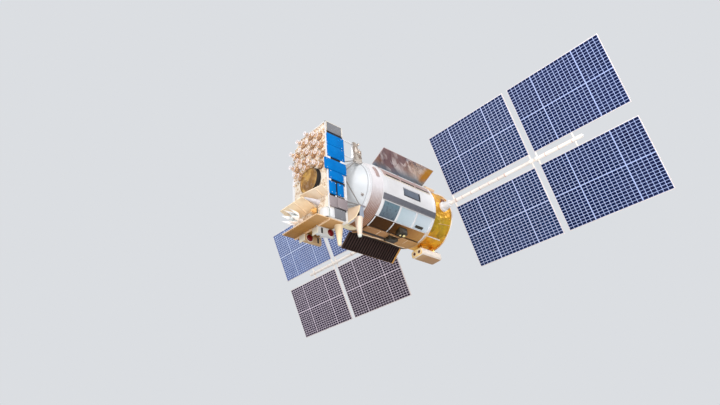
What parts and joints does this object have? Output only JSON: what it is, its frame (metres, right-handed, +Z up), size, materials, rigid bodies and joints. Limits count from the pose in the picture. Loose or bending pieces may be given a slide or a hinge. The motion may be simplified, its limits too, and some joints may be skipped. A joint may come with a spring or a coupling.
{
  "type": "navigation satellite",
  "caption": "Navigation satellite: a white cylindrical body with a gold drum, an upright antenna module at its front and two folding, turning solar wings.",
  "frame": {"origin": "centre of the launch adapter's mating face, at the aft end of the body axis", "axes": "+X along the body axis towards the antenna face, +Y towards the near wing, +Z up along the tall side of the payload module"},
  "size_m": [4.246, 10.38, 3.0383],
  "materials": {
    "aluminium": "satin machined",
    "black": "matt black",
    "blue_radiator": "satin blue",
    "boom_paint": "matt cream white",
    "cells": "solar cells under cover glass",
    "copper_gold": "pink gold plated",
    "cream_paint": "matt cream",
    "dark_gold": "crinkled dark gold",
    "dark_grey": "satin dark grey",
    "gold_foil": "crinkled gold foil over blankets",
    "grey_paint": "matt grey",
    "louvre_glass": "pale satin",
    "mauve_grey": "matt warm grey",
    "panel_frame": "anodised",
    "red_cap": "gloss dark red",
    "ribbed_dark": "dark ribbed",
    "silver_foil": "crinkled silver foil",
    "tan_panel": "matt tan",
    "white_blanket": "matt white thermal paint",
    "white_paint": "matt white"
  },
  "bodies": {
    "bus": {"aft_cap": "gold_foil", "aft_case": "white_paint", "aft_case_brackets": "gold_foil", "antenna_elements": "copper_gold", "antenna_face": "cream_paint", "belly_units": "black", "crown_antenna": "white_paint", "deck_post": "cream_paint", "dome_unit": "white_paint", "drive_housing_far": "white_paint", "drive_housing_near": "white_paint", "drum_unit": "cream_paint", "end_hoops": "white_blanket", "foil_cover": "silver_foil", "front_dome": "white_paint", "front_ring": "white_paint", "gold_drum": "gold_foil", "gold_fitting": "gold_foil", "gussets": "cream_paint", "instrument_case": "black", "instrument_dish": "dark_gold", "instrument_hood": "cream_paint", "keel_panel": "tan_panel", "launch_adapter": "aluminium", "louvre_panel_dark": "dark_grey", "louvre_panels_light": "louvre_glass", "lower_deck": "cream_paint", "payload_box": "cream_paint", "ribbed_band": "white_paint", "ribbed_cover": "ribbed_dark", "roll_unit": "white_paint", "sensor_boxes": "white_paint", "sensor_caps": "red_cap", "shell_bars": "white_paint", "shell_beam": "grey_paint", "side_box_top": "grey_paint", "side_cases": "mauve_grey", "side_plate_grey": "grey_paint", "side_plate_white": "white_paint", "side_radiators": "blue_radiator", "slotted_strip": "mauve_grey", "support_horn": "cream_paint", "thermal_shell": "white_blanket", "thruster_bracket": "white_paint", "truss_rods": "white_paint", "truss_struts": "dark_grey", "visor_plate": "cream_paint", "window_shutter": "grey_paint"},
    "wing_near_inner": {"inner_boom_near": "boom_paint", "inner_panels_near": "panel_frame", "inner_cells_near": "cells"},
    "wing_near_outer": {"outer_boom_near": "boom_paint", "outer_panels_near": "panel_frame", "outer_cells_near": "cells"},
    "wing_far_inner": {"inner_boom_far": "boom_paint", "inner_panels_far": "panel_frame", "inner_cells_far": "cells"},
    "wing_far_outer": {"outer_boom_far": "boom_paint", "outer_panels_far": "panel_frame", "outer_cells_far": "cells"}
  },
  "joints": [
    {"name": "solar_drive_near", "type": "hinge", "parent": "bus", "child": "wing_near_inner", "pos_m": [0.38, 0.94, 0.043], "axis": [0, 1, 0], "continuous": true},
    {"name": "wing_fold_near", "type": "hinge", "parent": "wing_near_inner", "child": "wing_near_outer", "pos_m": [0.30113, 3.129, 0.0747], "axis": [0.373, 0, 0.9278], "range_deg": [0, 180]},
    {"name": "solar_drive_far", "type": "hinge", "parent": "bus", "child": "wing_far_inner", "pos_m": [0.38, -0.94, 0.043], "axis": [0, 1, 0], "continuous": true},
    {"name": "wing_fold_far", "type": "hinge", "parent": "wing_far_inner", "child": "wing_far_outer", "pos_m": [0.30113, -3.129, 0.0747], "axis": [-0.373, 0, -0.9278], "range_deg": [0, 180]}
  ]
}
